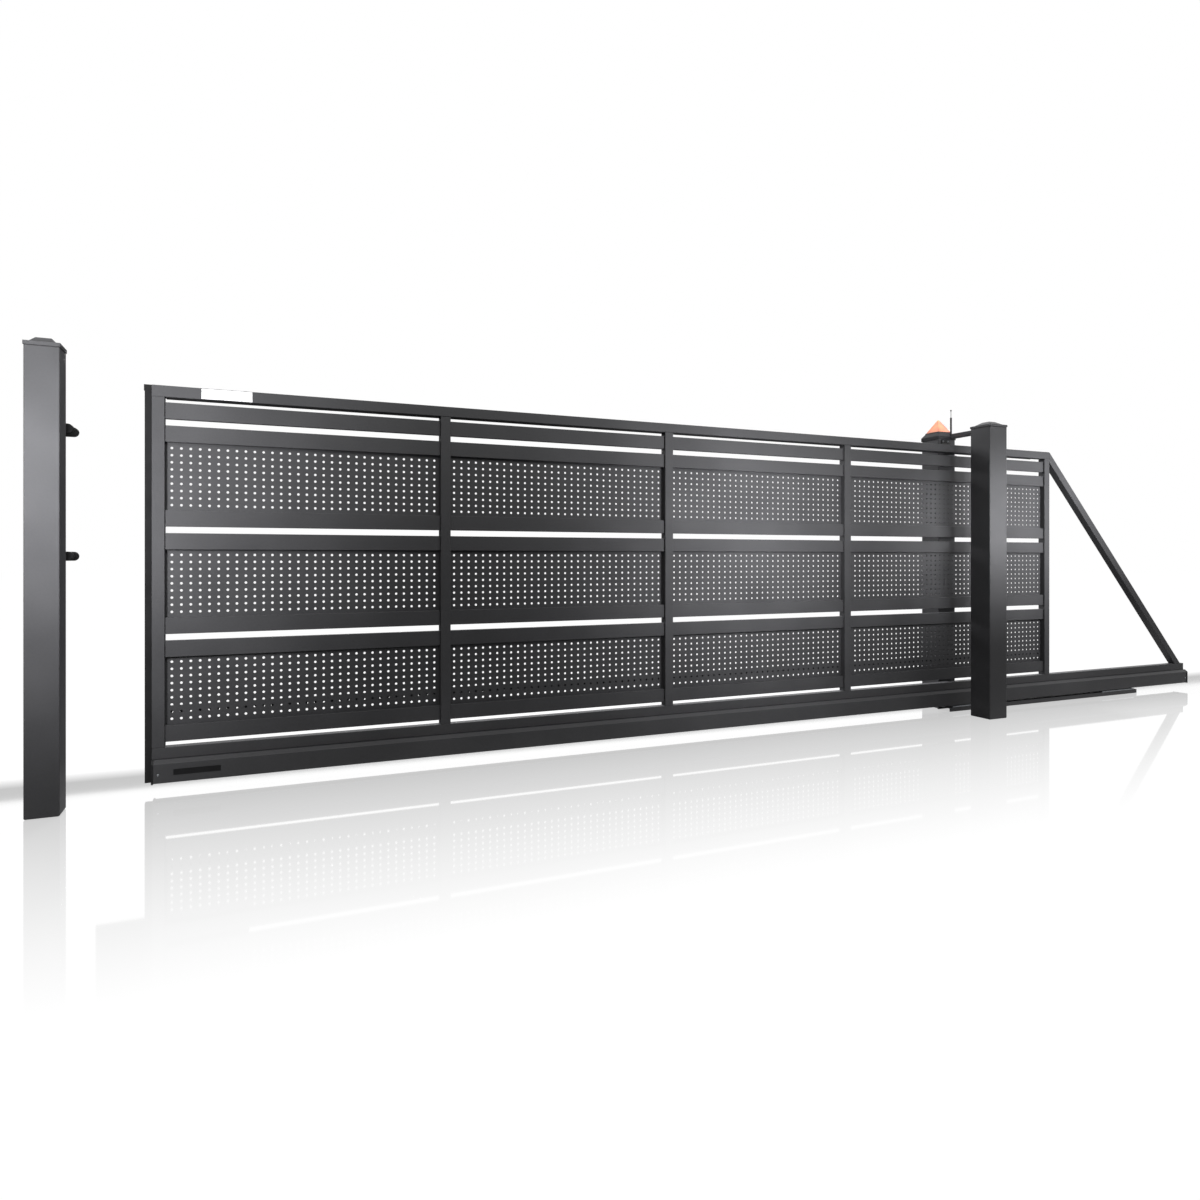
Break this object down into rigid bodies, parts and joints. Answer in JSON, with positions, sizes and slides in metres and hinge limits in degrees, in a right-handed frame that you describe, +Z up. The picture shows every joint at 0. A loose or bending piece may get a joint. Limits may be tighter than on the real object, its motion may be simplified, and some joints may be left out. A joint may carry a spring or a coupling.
{
  "type": "sliding driveway gate",
  "caption": "Self-carrying sliding driveway gate with slatted and perforated infill, braced tail, guide post, receiving post and drive post",
  "frame": {"origin": "centre of the guide post's foot, at ground level", "axes": "+X along the gate towards its braced tail, the way it opens; +Y away from the street; +Z up"},
  "size_m": [6.058, 0.455, 1.6315],
  "materials": {
    "graphite_powder_coat": "fine-textured matt powder coat",
    "black_plastic": "moulded, satin",
    "black_rubber": "matt extruded rubber",
    "amber_lens": "translucent moulded lens",
    "zinc_steel": "galvanised",
    "white_nylon": "machined nylon"
  },
  "bodies": {
    "ground_works": {"receiving_post": "graphite_powder_coat", "guide_post": "graphite_powder_coat", "rear_post": "graphite_powder_coat", "receiving_post_cap": "graphite_powder_coat", "guide_post_cap": "graphite_powder_coat", "drive_head": "black_plastic", "lamp_base": "black_plastic", "lamp_lens": "amber_lens", "aerial": "black_plastic", "crossbar": "graphite_powder_coat", "upper_catch": "black_rubber", "lower_catch": "black_rubber", "track_roller": "white_nylon", "roller_bracket": "zinc_steel", "carriage_sill": "graphite_powder_coat", "carriage_1": "zinc_steel", "carriage_2": "zinc_steel", "carriage_1_wheels": "zinc_steel", "carriage_2_wheels": "zinc_steel"},
    "leaf": {"top_rail": "graphite_powder_coat", "bottom_rail": "graphite_powder_coat", "closing_stile": "graphite_powder_coat", "mullion_1": "graphite_powder_coat", "mullion_2": "graphite_powder_coat", "mullion_3": "graphite_powder_coat", "tail_stile": "graphite_powder_coat", "tail_brace": "graphite_powder_coat", "closing_edge": "black_rubber", "slats_bay_1": "graphite_powder_coat", "slats_bay_2": "graphite_powder_coat", "slats_bay_3": "graphite_powder_coat", "slats_bay_4": "graphite_powder_coat", "sheets_bay_1": "graphite_powder_coat", "sheets_bay_2": "graphite_powder_coat", "sheets_bay_3": "graphite_powder_coat", "sheets_bay_4": "graphite_powder_coat", "guide_rail": "graphite_powder_coat", "front_rail_cap": "black_plastic", "tail_rail_cap": "black_plastic", "guide_track": "zinc_steel", "gear_rack": "zinc_steel"}
  },
  "joints": [
    {"name": "leaf_slide", "type": "slide", "parent": "ground_works", "child": "leaf", "axis": [1, 0, 0], "range_m": [-0.24, 3.69]}
  ]
}
